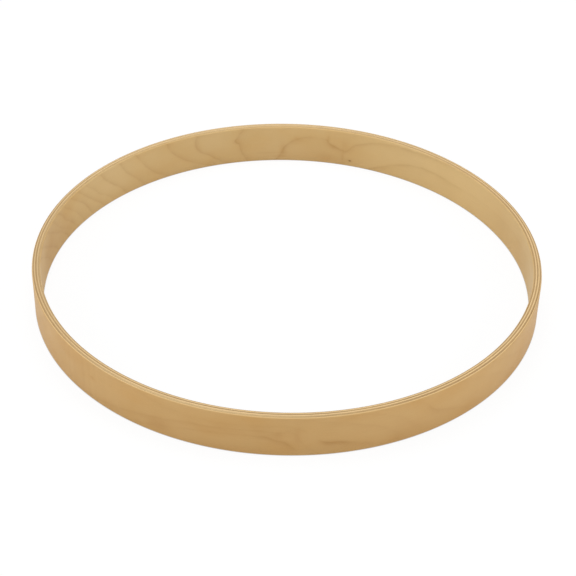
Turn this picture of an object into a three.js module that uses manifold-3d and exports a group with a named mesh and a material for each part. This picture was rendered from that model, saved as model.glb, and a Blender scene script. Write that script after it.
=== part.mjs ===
// Bass drum hoop: seven maple plies bent into rings and glued face to face
//
// The hoop lies on its square bearing edge with its rounded front edge up. Units are millimetres.
// The origin is the centre of the bearing edge's plane, and +Z runs along the hoop's axis.
// Places through the thickness are distances from the inner wall, from zero to hoopThickness.

import * as THREE from 'three';
import { mergeVertices } from 'three/addons/utils/BufferGeometryUtils.js';
import Module from 'manifold-3d';

const wasm = await Module();
wasm.setup();

// Driving dimensions
const boreDiameter = 563.6;      // 22 3/16 in, which passes over the flesh hoop of a 22 in drumhead
const hoopDepth = 51.2;          // nominally 2 in, along the axis, as the photo's outlines measure it
const facePlyThickness = 0.97;   // the two wall veneers, sanded thinner than the rest
const longPlyThickness = 1.42;   // core veneers whose grain runs round the hoop
const crossPlyThickness = 1.42;  // core veneers whose grain runs along the axis
const glueLineThickness = 0.08;  // cured adhesive between two plies, and between the ends of one
const frontRoundover = 3.2;      // 1/8 in, the radius that both front edges are rounded to
const bearingEase = 1.0;         // radius that both bearing edges are eased to

// Proportions
const scarfSlopeShare = 1 / 8;   // ply thickness as a share of its scarf joint's length
const staggerShare = 3 / 7;      // turn from one ply's joint to the next ply's, as a share of a circle
const outerJointShare = 1 / 4;   // place of the outermost joint round the circle, from +X
const slabLengthShare = 2;       // length of a scarf joint's cutter as a share of the joint's length

// Fineness of the faceted rings
const ringSegments = 96;
const roundoverSteps = 8;
const easeSteps = 3;

// Overrun of a cutter past the material that it cuts
const cutOverrun = 2;

// Finishes
const faceMaple = { color: 0xcda878, roughness: 0.48 };
const longGrainMaple = { color: 0xdcbd8f, roughness: 0.55 };
const crossGrainMaple = { color: 0xb98f5a, roughness: 0.62 };
const curedGlue = { color: 0xa9854f, roughness: 0.4 };

// Lay-up, from the inner wall out: a ply is followed by a glue line, apart from the last
const plies = [
  { name: 'inner_face_ply', thickness: facePlyThickness, finish: faceMaple },
  { name: 'inner_cross_ply', thickness: crossPlyThickness, finish: crossGrainMaple },
  { name: 'inner_long_ply', thickness: longPlyThickness, finish: longGrainMaple },
  { name: 'middle_cross_ply', thickness: crossPlyThickness, finish: crossGrainMaple },
  { name: 'outer_long_ply', thickness: longPlyThickness, finish: longGrainMaple },
  { name: 'outer_cross_ply', thickness: crossPlyThickness, finish: crossGrainMaple },
  { name: 'outer_face_ply', thickness: facePlyThickness, finish: faceMaple },
];

// Sizes that follow from the lay-up
const boreRadius = boreDiameter / 2;
const veneerThickness = plies.reduce((sum, ply) => sum + ply.thickness, 0);
const hoopThickness = veneerThickness + (plies.length - 1) * glueLineThickness;
const roundoverRadius = Math.min(frontRoundover, hoopThickness / 2);
const easeRadius = Math.min(bearingEase, hoopThickness / 2, hoopDepth - roundoverRadius);

// How far a quarter-round of the given radius falls away from its edge's plane at a place in the wall
function edgeFall(place, radius) {
  const fromWall = Math.min(place, hoopThickness - place);
  if (fromWall >= radius) return 0;
  return radius - Math.sqrt(radius ** 2 - (radius - fromWall) ** 2);
}

const frontHeight = (place) => hoopDepth - edgeFall(place, roundoverRadius);
const bearingHeight = (place) => edgeFall(place, easeRadius);

// Places where a quarter-round is broken into facets, at both walls, that lie inside one layer.
// A break closer to the layer's side than a glue line is left out, so that no facet is a sliver.
function edgeBreaks(from, to, radius, steps) {
  const angles = Array.from({ length: steps }, (_, i) => (i + 1) / steps * Math.PI / 2);
  const depths = angles.map((angle) => radius * (1 - Math.cos(angle)));
  const places = new Set([...depths, ...depths.map((depth) => hoopThickness - depth)]);
  return [...places]
    .filter((place) => place > from + glueLineThickness && place < to - glueLineThickness)
    .sort((a, b) => a - b);
}

// Cross-section of one layer, closed on itself: out along the bearing edge, back along the front edge
function layerSection(from, to) {
  const bearing = [from, ...edgeBreaks(from, to, easeRadius, easeSteps), to];
  const front = [from, ...edgeBreaks(from, to, roundoverRadius, roundoverSteps), to].reverse();
  const outline = [
    ...bearing.map((place) => new THREE.Vector2(boreRadius + place, bearingHeight(place))),
    ...front.map((place) => new THREE.Vector2(boreRadius + place, frontHeight(place))),
  ];
  return [...outline, outline[0]];
}

// A full ring of one layer about the Z axis
function layerRing(from, to) {
  return new THREE.LatheGeometry(layerSection(from, to), ringSegments).rotateX(Math.PI / 2);
}

function toSolid(geometry) {
  geometry.deleteAttribute('normal');
  geometry.deleteAttribute('uv');
  const merged = mergeVertices(geometry);
  return new wasm.Manifold(new wasm.Mesh({
    numProp: 3,
    vertProperties: merged.attributes.position.array,
    triVerts: new Uint32Array(merged.index.array),
  }));
}

function toGeometry(solid) {
  const mesh = solid.getMesh();
  const geometry = new THREE.BufferGeometry();
  geometry.setAttribute('position', new THREE.BufferAttribute(mesh.vertProperties, mesh.numProp));
  geometry.setIndex(new THREE.BufferAttribute(mesh.triVerts, 1));
  geometry.computeVertexNormals();
  return geometry;
}

// The slanted slab that parts a ply at its scarf joint, as thick as the adhesive there.
// It crosses the ply at a slope, and it is longer than the joint so that it leaves both faces cleanly.
function scarfSlab(from, to, angle) {
  const scarfLength = (to - from) / scarfSlopeShare;
  const radius = boreRadius + (from + to) / 2;
  const slabLength = scarfLength * slabLengthShare;
  const slab = new THREE.BoxGeometry(slabLength, glueLineThickness, hoopDepth + 2 * cutOverrun);
  slab.rotateZ(angle + Math.PI / 2 - Math.atan(scarfSlopeShare));
  slab.translate(radius * Math.cos(angle), radius * Math.sin(angle), hoopDepth / 2);
  return slab;
}

// One ply: a ring parted at its scarf joint into a bent strip, and the film that glues its two ends
function jointedPly(from, to, angle) {
  const ring = toSolid(layerRing(from, to));
  const slab = toSolid(scarfSlab(from, to, angle));
  return { strip: toGeometry(ring.subtract(slab)), film: toGeometry(ring.intersect(slab)) };
}

function addPiece(name, geometry, finish) {
  const piece = new THREE.Mesh(geometry, new THREE.MeshStandardMaterial({ ...finish, metalness: 0 }));
  piece.name = name;
  hoop.add(piece);
}

// The hoop, built up from the inner wall
const hoop = new THREE.Group();
hoop.name = 'drum_hoop';
let place = 0;
plies.forEach((ply, index) => {
  const turns = outerJointShare + (plies.length - 1 - index) * staggerShare;
  const outside = place + ply.thickness;
  const { strip, film } = jointedPly(place, outside, turns * 2 * Math.PI);
  addPiece(ply.name, strip, ply.finish);
  addPiece(`scarf_glue_${index + 1}`, film, curedGlue);
  if (index < plies.length - 1) {
    addPiece(`glue_line_${index + 1}`, layerRing(outside, outside + glueLineThickness), curedGlue);
  }
  place = outside + glueLineThickness;
});

export default hoop;
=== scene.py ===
"""Laminated drum hoop: its veneers, glue films, finish, floor, lights and camera.

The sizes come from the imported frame, in metres. The hoop lies on its bearing edge, in the plane z = 0,
with its rounded front edge up. Angles go round +Z from +X. Places in the wall go out from the bore.
"""

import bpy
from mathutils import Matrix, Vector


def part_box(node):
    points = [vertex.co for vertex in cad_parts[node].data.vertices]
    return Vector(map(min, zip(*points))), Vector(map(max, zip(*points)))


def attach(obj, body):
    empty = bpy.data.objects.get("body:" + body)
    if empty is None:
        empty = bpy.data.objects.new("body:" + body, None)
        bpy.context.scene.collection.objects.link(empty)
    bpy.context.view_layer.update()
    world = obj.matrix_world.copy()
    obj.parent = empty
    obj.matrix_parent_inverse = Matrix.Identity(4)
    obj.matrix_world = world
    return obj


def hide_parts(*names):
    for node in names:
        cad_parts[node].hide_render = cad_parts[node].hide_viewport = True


bl_info = {
    "name": "Laminated Drum Hoop",
    "version": (1, 0, 0),
    "blender": (4, 5, 0),
    "location": "View3D > Sidebar > Drum Hoop",
    "description": "Builds a bent maple drum hoop ply by ply, with its finish, floor and lights",
    "category": "Add Mesh",
}

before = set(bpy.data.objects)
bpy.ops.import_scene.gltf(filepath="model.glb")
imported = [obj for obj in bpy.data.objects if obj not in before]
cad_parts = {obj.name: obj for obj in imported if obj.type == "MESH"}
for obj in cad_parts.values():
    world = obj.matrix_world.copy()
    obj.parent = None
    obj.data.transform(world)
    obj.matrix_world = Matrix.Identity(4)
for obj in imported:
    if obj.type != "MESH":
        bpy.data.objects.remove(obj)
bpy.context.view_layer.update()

import math
from collections import namedtuple

import bmesh
import bpy
import numpy as np
from bpy.props import FloatProperty, FloatVectorProperty, IntProperty, PointerProperty
from mathutils import Matrix, Vector

MILLIMETRE = 0.001
HAIR = 1e-7                   # two places closer than this are one
ON_WALL = 0.01 * MILLIMETRE   # a CAD corner closer to a wall than this is on it
FULL_TURN = 2 * math.pi


# Sizes read from the frame

def ring_radii(node):
    """Smallest and largest distance from the hoop's axis of a CAD ring's corners"""
    radii = [corner.co.xy.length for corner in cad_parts[node].data.vertices]
    return min(radii), max(radii)


def wall_heights(node, radius):
    """Lowest and highest corner of a CAD ring on its wall of that radius"""
    corners = [corner.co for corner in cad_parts[node].data.vertices]
    heights = [corner.z for corner in corners if abs(corner.xy.length - radius) < ON_WALL]
    return min(heights), max(heights)


def joint_angle(node):
    """Where round the hoop a scarf joint's CAD film lies"""
    low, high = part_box(node)
    middle = (low + high) / 2
    return math.atan2(middle.y, middle.x)


OUTER_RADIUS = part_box("outer_face_ply")[1].x
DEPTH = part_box("middle_cross_ply")[1].z
GLUE_4, GLUE_5, GLUE_6 = [ring_radii(f"glue_line_{number}") for number in (4, 5, 6)]
FACE_PLY = OUTER_RADIUS - GLUE_6[1]
CROSS_PLY = GLUE_6[0] - GLUE_5[1]
LONG_PLY = GLUE_5[0] - GLUE_4[1]
GLUE_LINE = GLUE_6[1] - GLUE_6[0]
WALL_FOOT, WALL_HEAD = wall_heights("outer_face_ply", OUTER_RADIUS)

# Lay-up from the bore out: the CAD node of each ply, and the kind of veneer it is
PLIES = (
    ("inner_face_ply", "face"),
    ("inner_cross_ply", "cross"),
    ("inner_long_ply", "long"),
    ("middle_cross_ply", "cross"),
    ("outer_long_ply", "long"),
    ("outer_cross_ply", "cross"),
    ("outer_face_ply", "face"),
)


# Properties that a user would change

class HoopSizes(bpy.types.PropertyGroup):
    """Sizes of the hoop and of its veneers"""

    outer_radius: FloatProperty(
        name="Outer Radius", description="From the axis to the outer wall",
        default=OUTER_RADIUS, min=0.05, unit="LENGTH", precision=5)
    depth: FloatProperty(
        name="Depth", description="Along the axis, from the bearing edge to the front edge",
        default=DEPTH, min=0.01, unit="LENGTH", precision=5)
    face_ply: FloatProperty(
        name="Face Ply", description="Thickness of the sanded veneer on either wall",
        default=FACE_PLY, min=0.0002, unit="LENGTH", precision=5)
    long_ply: FloatProperty(
        name="Long Ply", description="Thickness of a core veneer whose grain runs round the hoop",
        default=LONG_PLY, min=0.0002, unit="LENGTH", precision=5)
    cross_ply: FloatProperty(
        name="Cross Ply", description="Thickness of a core veneer whose grain runs along the axis",
        default=CROSS_PLY, min=0.0002, unit="LENGTH", precision=5)
    glue_line: FloatProperty(
        name="Glue Line", description="Thickness of the cured film between two veneers",
        default=GLUE_LINE, min=0.00001, unit="LENGTH", precision=5)
    front_roundover: FloatProperty(
        name="Front Roundover", description="Radius of both front edges",
        default=DEPTH - WALL_HEAD, min=0.0001, unit="LENGTH", precision=5)
    bearing_ease: FloatProperty(
        name="Bearing Ease", description="Radius of both bearing edges",
        default=WALL_FOOT, min=0.0001, unit="LENGTH", precision=5)
    scarf_run: FloatProperty(
        name="Scarf Run", description="Length of a scarf joint for each unit of its ply's thickness",
        default=8.0, min=1.0)
    steps: IntProperty(
        name="Steps", description="Facets round the hoop", default=720, min=96, max=1440)
    wall_rows: IntProperty(
        name="Wall Rows", description="Rows of faces up a face ply's wall", default=26, min=1, max=60)


class HoopFinish(bpy.types.PropertyGroup):
    """Colours of the wood and the glue, and the gloss of the lacquer"""

    inner_face: FloatVectorProperty(
        name="Inner Face", description="Sanded maple on the inner wall",
        subtype="COLOR", size=3, default=(0.572, 0.396, 0.180), min=0, max=1)
    outer_face: FloatVectorProperty(
        name="Outer Face", description="Sanded maple on the outer wall",
        subtype="COLOR", size=3, default=(0.532, 0.331, 0.130), min=0, max=1)
    long_edge: FloatVectorProperty(
        name="Long Edge", description="Edge of a veneer whose grain runs round the hoop",
        subtype="COLOR", size=3, default=(0.728, 0.526, 0.262), min=0, max=1)
    cross_edge: FloatVectorProperty(
        name="Cross Edge", description="End grain at the edge of a cross veneer",
        subtype="COLOR", size=3, default=(0.385, 0.220, 0.074), min=0, max=1)
    growth_line: FloatVectorProperty(
        name="Growth Line", description="Late wood of the growth rings",
        subtype="COLOR", size=3, default=(0.300, 0.140, 0.030), min=0, max=1)
    glue: FloatVectorProperty(
        name="Glue", description="Cured adhesive film",
        subtype="COLOR", size=3, default=(0.260, 0.140, 0.048), min=0, max=1)
    lacquer_roughness: FloatProperty(
        name="Lacquer Roughness", description="Satin lacquer over all of the wood",
        default=0.50, min=0, max=1, subtype="FACTOR")


class HoopStage(bpy.types.PropertyGroup):
    """Camera, lamps and floor"""

    lens: FloatProperty(
        name="Lens", description="Focal length on a 36 mm sensor", default=93.7, min=10, unit="CAMERA")
    elevation: FloatProperty(
        name="Elevation", description="Angle that the camera looks down at",
        default=math.radians(36.311), subtype="ANGLE")
    roll: FloatProperty(
        name="Roll", description="Turn of the camera about its line of sight",
        default=math.radians(1.257), subtype="ANGLE")
    distance: FloatProperty(
        name="Distance", description="From the middle of the front edge's plane back to the camera",
        default=1.72665, min=0.1, unit="LENGTH", precision=4)
    slide: FloatVectorProperty(
        name="Slide", description="Camera's offset to its right and its top",
        size=2, default=(0.00081, -0.04352), unit="LENGTH", precision=5)
    sky: FloatProperty(
        name="Sky", description="Even light from all round", default=0.55, min=0)
    overhead_power: FloatProperty(
        name="Overhead Power", description="Soft lamp above the hoop and behind its middle",
        default=17, min=0, unit="POWER")
    side_power: FloatProperty(
        name="Side Power", description="Each of the two soft lamps at the sides",
        default=21, min=0, unit="POWER")
    front_power: FloatProperty(
        name="Front Power", description="Soft lamp low in front",
        default=13, min=0, unit="POWER")
    shadow: FloatProperty(
        name="Shadow", description="Share of the floor's look that shadows can darken",
        default=0.08, min=0, max=1, subtype="FACTOR")


# Sizes worked out from the properties

class Layer(namedtuple("Layer", "name kind inside outside joint")):
    """A ply or a glue line: its two radii, and the angle of its scarf joint"""

    @property
    def middle(self):
        return (self.inside + self.outside) / 2


def ply_thickness(sizes, kind):
    return {"face": sizes.face_ply, "long": sizes.long_ply, "cross": sizes.cross_ply}[kind]


def wall_thickness(sizes):
    wood = sum(ply_thickness(sizes, kind) for name, kind in PLIES)
    return wood + (len(PLIES) - 1) * sizes.glue_line


def bore_radius(sizes):
    return sizes.outer_radius - wall_thickness(sizes)


def layers(sizes):
    """Every ply and glue line from the bore out, with its two radii and its scarf joint's angle"""
    found = []
    inside = bore_radius(sizes)
    for number, (name, kind) in enumerate(PLIES, start=1):
        outside = inside + ply_thickness(sizes, kind)
        found.append(Layer(name, kind, inside, outside, joint_angle(f"scarf_glue_{number}")))
        if number < len(PLIES):
            inside = outside + sizes.glue_line
            found.append(Layer(f"glue_line_{number}", "glue", outside, inside, 0.0))
    return found


def layers_of(sizes, kind):
    return [layer for layer in layers(sizes) if layer.kind == kind]


def shown_radius(layer, wall):
    """Radius of the wall that a face ply shows"""
    return getattr(layer, wall.side)


# Cross-section and sweep

FRONT_FACETS = 20        # on the roundover of each front edge
BEARING_FACETS = 8       # on the ease of each bearing edge
SECTORS = 24             # parts that a ring is made in: the first is swept, and the rest repeat it
MERGE_DISTANCE = 1e-6    # corners of neighbouring sectors closer than this are joined


def wall_section(sizes):
    """The whole wall's cross-section as one face in the XZ plane, with its four corners rounded"""
    bm = bmesh.new()
    bore = bore_radius(sizes)
    wall, depth = sizes.outer_radius, sizes.depth
    outline = [(bore, 0), (wall, 0), (wall, depth), (bore, depth)]
    bm.faces.new([bm.verts.new((radius, 0, height)) for radius, height in outline])
    edges = (
        (0, sizes.bearing_ease, BEARING_FACETS),
        (depth, sizes.front_roundover, FRONT_FACETS),
    )
    for height, radius, segments in edges:
        corners = [corner for corner in bm.verts if abs(corner.co.z - height) < HAIR]
        bmesh.ops.bevel(
            bm, geom=corners, offset=radius, offset_type="OFFSET", segments=segments,
            profile=0.5, affect="VERTICES", material=-1)
    return bm


def slice_at(bm, radius, drop_inside=False, drop_outside=False):
    """Cuts a section at a radius, and drops what lies to one side of it"""
    bmesh.ops.bisect_plane(
        bm, geom=bm.verts[:] + bm.edges[:] + bm.faces[:], dist=HAIR, plane_co=(radius, 0, 0),
        plane_no=(1, 0, 0), clear_inner=drop_inside, clear_outer=drop_outside)


def layer_section(sizes, layer):
    """One layer's share of the wall's cross-section"""
    bm = wall_section(sizes)
    slice_at(bm, layer.inside, drop_inside=True)
    slice_at(bm, layer.outside, drop_outside=True)
    return bm


def split_wall(bm, radius, rows):
    """Breaks the section's upright edge at a wall into rows, so that the wall's figure can be stored"""
    upright = [
        edge for edge in bm.edges
        if all(abs(corner.co.x - radius) < HAIR for corner in edge.verts)
    ]
    bmesh.ops.bisect_edges(bm, edges=upright, cuts=rows - 1)


def lean_section(bm, sizes, layer):
    """Slants a section to its scarf joint's slope: each place in the ply is turned on in proportion"""
    for corner in bm.verts:
        turn = Matrix.Rotation(lean_at(sizes, layer, corner.co.x), 3, "Z")
        bmesh.ops.rotate(bm, verts=[corner], cent=(0, 0, 0), matrix=turn)


def lean_at(sizes, layer, radius):
    """How far round a scarf joint's middle its slanted face lies, at a radius within the ply"""
    return (radius - layer.middle) * sizes.scarf_run / layer.middle


def film_turn(sizes, layer):
    """Angle that the film in a scarf joint takes up, measured round the hoop"""
    return sizes.glue_line / math.sin(math.atan(1 / sizes.scarf_run)) / layer.middle


def spin(bm, turn, steps, repeat):
    """Spins all there is round the hoop's axis: swept into a skin, or repeated at each step"""
    bmesh.ops.spin(
        bm, geom=bm.verts[:] + bm.edges[:] + bm.faces[:], cent=(0, 0, 0), axis=(0, 0, 1),
        dvec=(0, 0, 0), angle=turn, steps=steps, use_merge=False, use_duplicate=repeat)


def put_in_order(elements):
    """Lists edges or faces by their corners, since a sweep lists them differently from run to run"""
    ranked = sorted(elements, key=lambda each: sorted(corner.index for corner in each.verts))
    ranks = {each: rank for rank, each in enumerate(ranked)}
    elements.sort(key=ranks.get)


def sweep(bm, start, turn, steps):
    """Sweeps a section's outline round the hoop's axis into one closed body that faces outwards"""
    bmesh.ops.rotate(bm, verts=bm.verts[:], cent=(0, 0, 0), matrix=Matrix.Rotation(start, 3, "Z"))
    bmesh.ops.delete(bm, geom=bm.faces[:], context="FACES_ONLY")
    spin(bm, turn / SECTORS, max(1, steps // SECTORS), repeat=False)
    bm.verts.index_update()
    put_in_order(bm.edges)
    put_in_order(bm.faces)
    spin(bm, turn - turn / SECTORS, SECTORS - 1, repeat=True)
    bmesh.ops.remove_doubles(bm, verts=bm.verts[:], dist=MERGE_DISTANCE)
    if turn < FULL_TURN:
        ends = [edge for edge in bm.edges if edge.is_boundary]
        bmesh.ops.holes_fill(bm, edges=ends, sides=0)
    bmesh.ops.recalc_face_normals(bm, faces=bm.faces[:])
    if not all(edge.is_manifold for edge in bm.edges):
        raise RuntimeError("a swept layer isn't one closed body")


CREASE = math.radians(30)   # faces that meet at more than this stay crisp


def finish_piece(bm, name, layer_name, material):
    """Makes a piece's object: smooth on its curves, crisp at its edges, riding on the hoop's body"""
    for face in bm.faces:
        face.smooth = True
    for edge in bm.edges:
        edge.smooth = edge.calc_face_angle(0) < CREASE
    mesh = bpy.data.meshes.new(name)
    bm.to_mesh(mesh)
    bm.free()
    mesh.materials.append(material)
    piece = bpy.data.objects.new(name, mesh)
    bpy.context.scene.collection.objects.link(piece)
    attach(piece, "root")
    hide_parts(layer_name)
    return piece


# Growth figure of the two face plies

# Growth lines: level, strength and points. A point is an angle round the hoop, in degrees, and a fall
# from the front edge, as a share of the depth. The level counts the rings, and it rises or falls by one
# at each line.
INNER_LINES = (
    (-10, 0.9, [
        (186.5, 0), (184, 0.12), (181.9, 0.23), (179.7, 0.38), (177.6, 0.52), (175.1, 0.68),
        (173.3, 0.85), (171.5, 1)]),
    (-9, 0.8, [
        (181, 0), (179, 0.17), (176.9, 0.28), (175.1, 0.4), (173.3, 0.5), (171.5, 0.62), (169, 0.8),
        (167, 1)]),
    (-8, 0.9, [
        (174.7, 0), (172.6, 0.17), (170.4, 0.3), (168.3, 0.43), (166.1, 0.55), (164, 0.67),
        (162.6, 0.8), (161, 1)]),
    (-7, 0.5, [
        (170, 0), (168.3, 0.18), (166.5, 0.37), (165.1, 0.5), (163.3, 0.63), (161.1, 0.75),
        (159.4, 0.85), (157.5, 1)]),
    (-6, 1.1, [
        (166.6, 0), (164.5, 0.15), (163.5, 0.23), (163.1, 0.37), (161.9, 0.47), (160.4, 0.57),
        (159.4, 0.65), (158.3, 0.8), (156.3, 1)]),
    (-5, 0.6, [
        (163, 0), (161.1, 0.2), (159, 0.32), (158.3, 0.43), (156.5, 0.55), (155.1, 0.72), (154, 0.85),
        (153.2, 1)]),
    (-4, 1.1, [
        (159.2, 0), (156.9, 0.2), (155.1, 0.33), (153.3, 0.47), (152, 0.62), (151.1, 0.77),
        (150.3, 0.9), (149.6, 1)]),
    (-3, 0.9, [
        (155.9, 0), (153.6, 0.2), (152.2, 0.33), (150.8, 0.47), (149.2, 0.6), (147.6, 0.73),
        (146.1, 0.85), (145, 1)]),
    (-2, 0.6, [
        (152.3, 0), (150.4, 0.2), (148.3, 0.33), (148.1, 0.43), (146.5, 0.57), (144.7, 0.68),
        (142.9, 0.82), (141, 1)]),
    (-1, 1.1, [
        (146.4, 0), (145.1, 0.17), (144, 0.3), (142.6, 0.43), (141.1, 0.57), (139.7, 0.68),
        (137.9, 0.87), (137, 1)]),
    (0, 0.85, [(139.2, 0), (138.1, 0.2), (136.6, 0.42), (133.9, 0.67), (131.7, 0.89), (131, 1)]),
    (1, 0.9, [
        (133.6, 0), (132.5, 0.2), (131, 0.39), (129.5, 0.59), (127, 0.79), (124.5, 0.93), (123.5, 1)]),
    (2, 0.9, [
        (123.9, 0), (123.2, 0.26), (121.3, 0.45), (119, 0.64), (116.5, 0.77), (114.3, 0.87), (111, 1)]),
    (3, 1.05, [
        (115, 0), (115.7, 0.2), (115.3, 0.4), (114.5, 0.53), (112.5, 0.61), (111.2, 0.72), (109, 0.87),
        (106.5, 1)]),
    (4, 1.0, [(102, 0), (103.3, 0.12), (104.1, 0.27)]),
    (4, 1.6, [(104.7, 0.36), (104.5, 0.41)]),
    (4, 1.15, [(103.5, 0.48), (103.3, 0.6), (102.6, 0.8), (101.2, 1)]),
    (5, 1.3, [(93.8, 1), (92, 0.75), (91.3, 0.64), (91.4, 0.54), (90, 0.45), (87.5, 0.34)]),
    (5, 0.8, [(85, 0.28), (82, 0.31), (80.6, 0.31)]),
    (5, 1.5, [(79.9, 0.33), (79.6, 0.4)]),
    (5, 1.45, [(78.2, 0.48), (76.6, 0.54), (75.4, 0.57)]),
    (5, 0.8, [(75.2, 0.62), (75.6, 0.8), (75.5, 1)]),
    (5, 1.0, [
        (73.9, 0.5), (73, 0.38), (71.5, 0.33), (69, 0.23), (66.2, 0.15), (62, 0.11), (56.7, 0.09),
        (46, 0.04), (38, 0)]),
    (6, 1.0, [
        (69, 1), (67, 0.9), (64.5, 0.81), (62, 0.69), (59, 0.58), (56, 0.5), (52.5, 0.46), (48.5, 0.46),
        (43, 0.5)]),
    (6, 0.25, [(38, 0.5), (15, 0.4), (-5, 0.42), (-25, 0.5), (-45, 0.46), (-66, 0.5)]),
    (7, 0.3, [(34, 1), (24, 0.88), (8, 0.83), (-10, 0.88), (-30, 0.95), (-50, 0.9), (-66, 0.92)]),
    (5, 0.3, [(20, -0.08), (0, -0.05), (-20, 0.02), (-40, -0.02), (-66, 0.04)]),
)
OUTER_LINES = (
    (1, 0.45, [(236, 0.97), (242.7, 0.8), (250, 0.64), (256, 0.55), (263.5, 0.52)]),
    (1, 1.0, [(266.5, 0.53), (268.8, 0.6), (270.3, 0.68), (271.8, 0.77)]),
    (1, 0.25, [(272.8, 0.86), (274.2, 1)]),
    (0, 0.6, [
        (216, 1), (226, 0.9), (233, 0.8), (240, 0.66), (245, 0.57), (250, 0.47), (255, 0.45),
        (260, 0.41), (264, 0.37), (269, 0.4)]),
    (0, 0.35, [(271.5, 0.36), (272.7, 0.45), (273.4, 0.6), (274.6, 0.75), (276.3, 0.9), (277.3, 1)]),
    (-1, 0.3, [
        (238, 0), (240, 0.07), (243.3, 0.17), (246.7, 0.22), (250, 0.27), (256, 0.3), (262, 0.27),
        (270, 0.22), (274, 0.33)]),
    (-1, 0.05, [(275, 0.44), (276.6, 0.57)]),
    (-1, 1.5, [(278.5, 0.67), (280.6, 0.69), (283, 0.73)]),
    (-1, 0.3, [(285.5, 0.78), (289, 0.88), (292, 1)]),
    (-2, 0.3, [
        (272, 0), (277, 0.12), (283, 0.22), (286, 0.33), (290, 0.46), (291.6, 0.57), (293.5, 0.7),
        (294.7, 0.83), (296, 1)]),
    (-3, 0.25, [(284, 0), (290, 0.15), (294.7, 0.36), (297, 0.6), (299.5, 0.8), (301, 1)]),
    (-4, 0.3, [(296, 0), (300, 0.2)]),
    (-4, 0.7, [(301.8, 0.42), (303.5, 0.52), (305.9, 0.6)]),
    (-4, 0.3, [(308.8, 0.72), (312.4, 0.86), (316, 1)]),
    (-5, 0.25, [(308, 0), (314, 0.2), (319, 0.4), (324, 0.62), (330, 0.85), (333, 1)]),
    (-6, 0.35, [(318, 0), (326, 0.33), (333, 0.6), (341, 0.9), (344, 1)]),
)

# Plain wood between the lines: level, angle and fall
INNER_PLAIN = (
    (5.45, 84, 0.65), (5.55, 84, 0.95), (5.4, 90, 0.8), (5.4, 78.5, 0.8), (5.5, 69, 0.62),
    (5.5, 72.5, 0.9), (4.5, 76, 0.2), (4.55, 90, 0.1), (6.5, 52, 0.8), (6.6, 40, 0.85), (5.6, 45, 0.25),
)
OUTER_PLAIN = (
    (-0.5, 208, 0.4), (-0.5, 220, 0.3), (-0.45, 229, 0.5), (-0.4, 205, 0.8),
    (1.3, 248, 0.9), (1.4, 256, 0.8), (1.4, 264, 0.85), (1.25, 270, 0.97),
)

# Soft patches of richer wood, or of paler where the last number is negative: angle, fall, reach round
# the hoop in degrees, reach up the wall as a share of the depth, and strength at the middle
INNER_PATCHES = (
    (173, 0.55, 12, 1.0, 0.40), (162, 0.5, 6, 1.0, 0.12), (160, 0.75, 6, 0.3, 0.10),
    (142, 0.6, 15, 0.9, -0.65), (115, 0.4, 1.2, 0.3, 0.06), (103.9, 0.35, 0.9, 0.12, 0.16),
    (95, 0.77, 6, 0.04, 0.14), (92, 0.87, 6, 0.03, 0.12), (91.9, 0.68, 1.1, 0.3, 0.2),
    (88.4, 0.33, 0.8, 0.07, 0.16), (86, 0.9, 16, 0.9, 0.15), (80, 0.85, 4.5, 0.2, 0.24),
    (79.7, 0.26, 0.6, 0.13, 0.2), (78.3, 0.5, 1.1, 0.1, 0.17), (75.7, 0.78, 0.6, 0.2, 0.24),
    (75.2, 0.42, 1.6, 0.22, 0.12), (75, 0.35, 8, 0.8, 0.1), (56, 0.3, 9, 0.9, -0.2),
    (22, 0.6, 4, 0.25, 0.08), (22, 0.4, 12, 1.2, 0.09), (10, 0.6, 9, 0.5, 0.15),
)
OUTER_PATCHES = (
    (226.3, 0.42, 1.2, 0.09, 0.62), (230, 0.4, 12, 1.1, -0.45), (231, 0.72, 2.5, 0.2, 0.08),
    (243.5, 0.75, 4, 0.25, 0.26), (255, 0.43, 3, 0.15, -0.3), (256, 0.98, 12, 0.3, 0.09),
    (269, 0.48, 1.4, 0.14, 0.17), (272.9, 0.45, 0.9, 0.35, 0.14), (280.8, 0.72, 3.2, 0.07, 0.1),
    (286.5, 0.83, 2.5, 0.08, 0.12), (293, 0.9, 2.5, 0.12, 0.12), (296.5, 0.7, 5, 0.3, 0.09),
    (300, 0.95, 14, 0.35, 0.08), (303.5, 0.52, 2.5, 0.1, 0.08), (312, 0.85, 6, 0.2, 0.06),
    (330, 0.95, 14, 0.5, 0.09),
)

LINE_POINT_SPACING = 0.009   # the lines are followed in steps of about this length
PLAIN_STRENGTH = 0.5         # of the figure on the plain wood
FIGURE_SOFTNESS = 4e-7       # how freely the levels may miss a point, which rounds the lines' corners
SLOPE_STEP = 0.0001          # distance over which the levels' slope is taken
MOST_STRENGTH = 2            # that a line may have anywhere
PATCH_FADE = 2               # how steeply a patch fades: the exponent at its reach

# Unevenness of leaning lines, which swings from line to line: mean share, swing, and the swing's rate
# and start. A bend is the share of the lean that is reached at its fall.
UPPER_BEND = (0.3, 0.12, 2.1, 1)
LOWER_BEND = (0.72, 0.1, 2.1, 1)
UPPER_FALL, LOWER_FALL = 0.35, 0.7
LEANING_STRENGTH = (0.8, 0.3, 1.7, 0)
LEANING_PITCH = (1, 0.35, 2.9, 0)

# Nested arches: where their points lie, as shares of their reach, and how each follows from the last
ARCH_SPOT_SHARES = (-1, -0.7, -0.35, 0, 0.3, 0.65, 1)
ARCH_GROWTH_SHARE = 0.7      # reach that each arch adds, as a share of the first one's
ARCH_RISE = 0.2              # how much less the fall of each crown is than the last one's
ARCH_FOOT = 1.05             # fall that the arches end at, past the bearing edge
ARCH_POWER = 1.7             # how flat their crowns are


def swinging(count, mean, swing, rate, start):
    """A share that swings about its mean from one line to the next"""
    return mean + swing * math.sin(rate * count + start)


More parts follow.
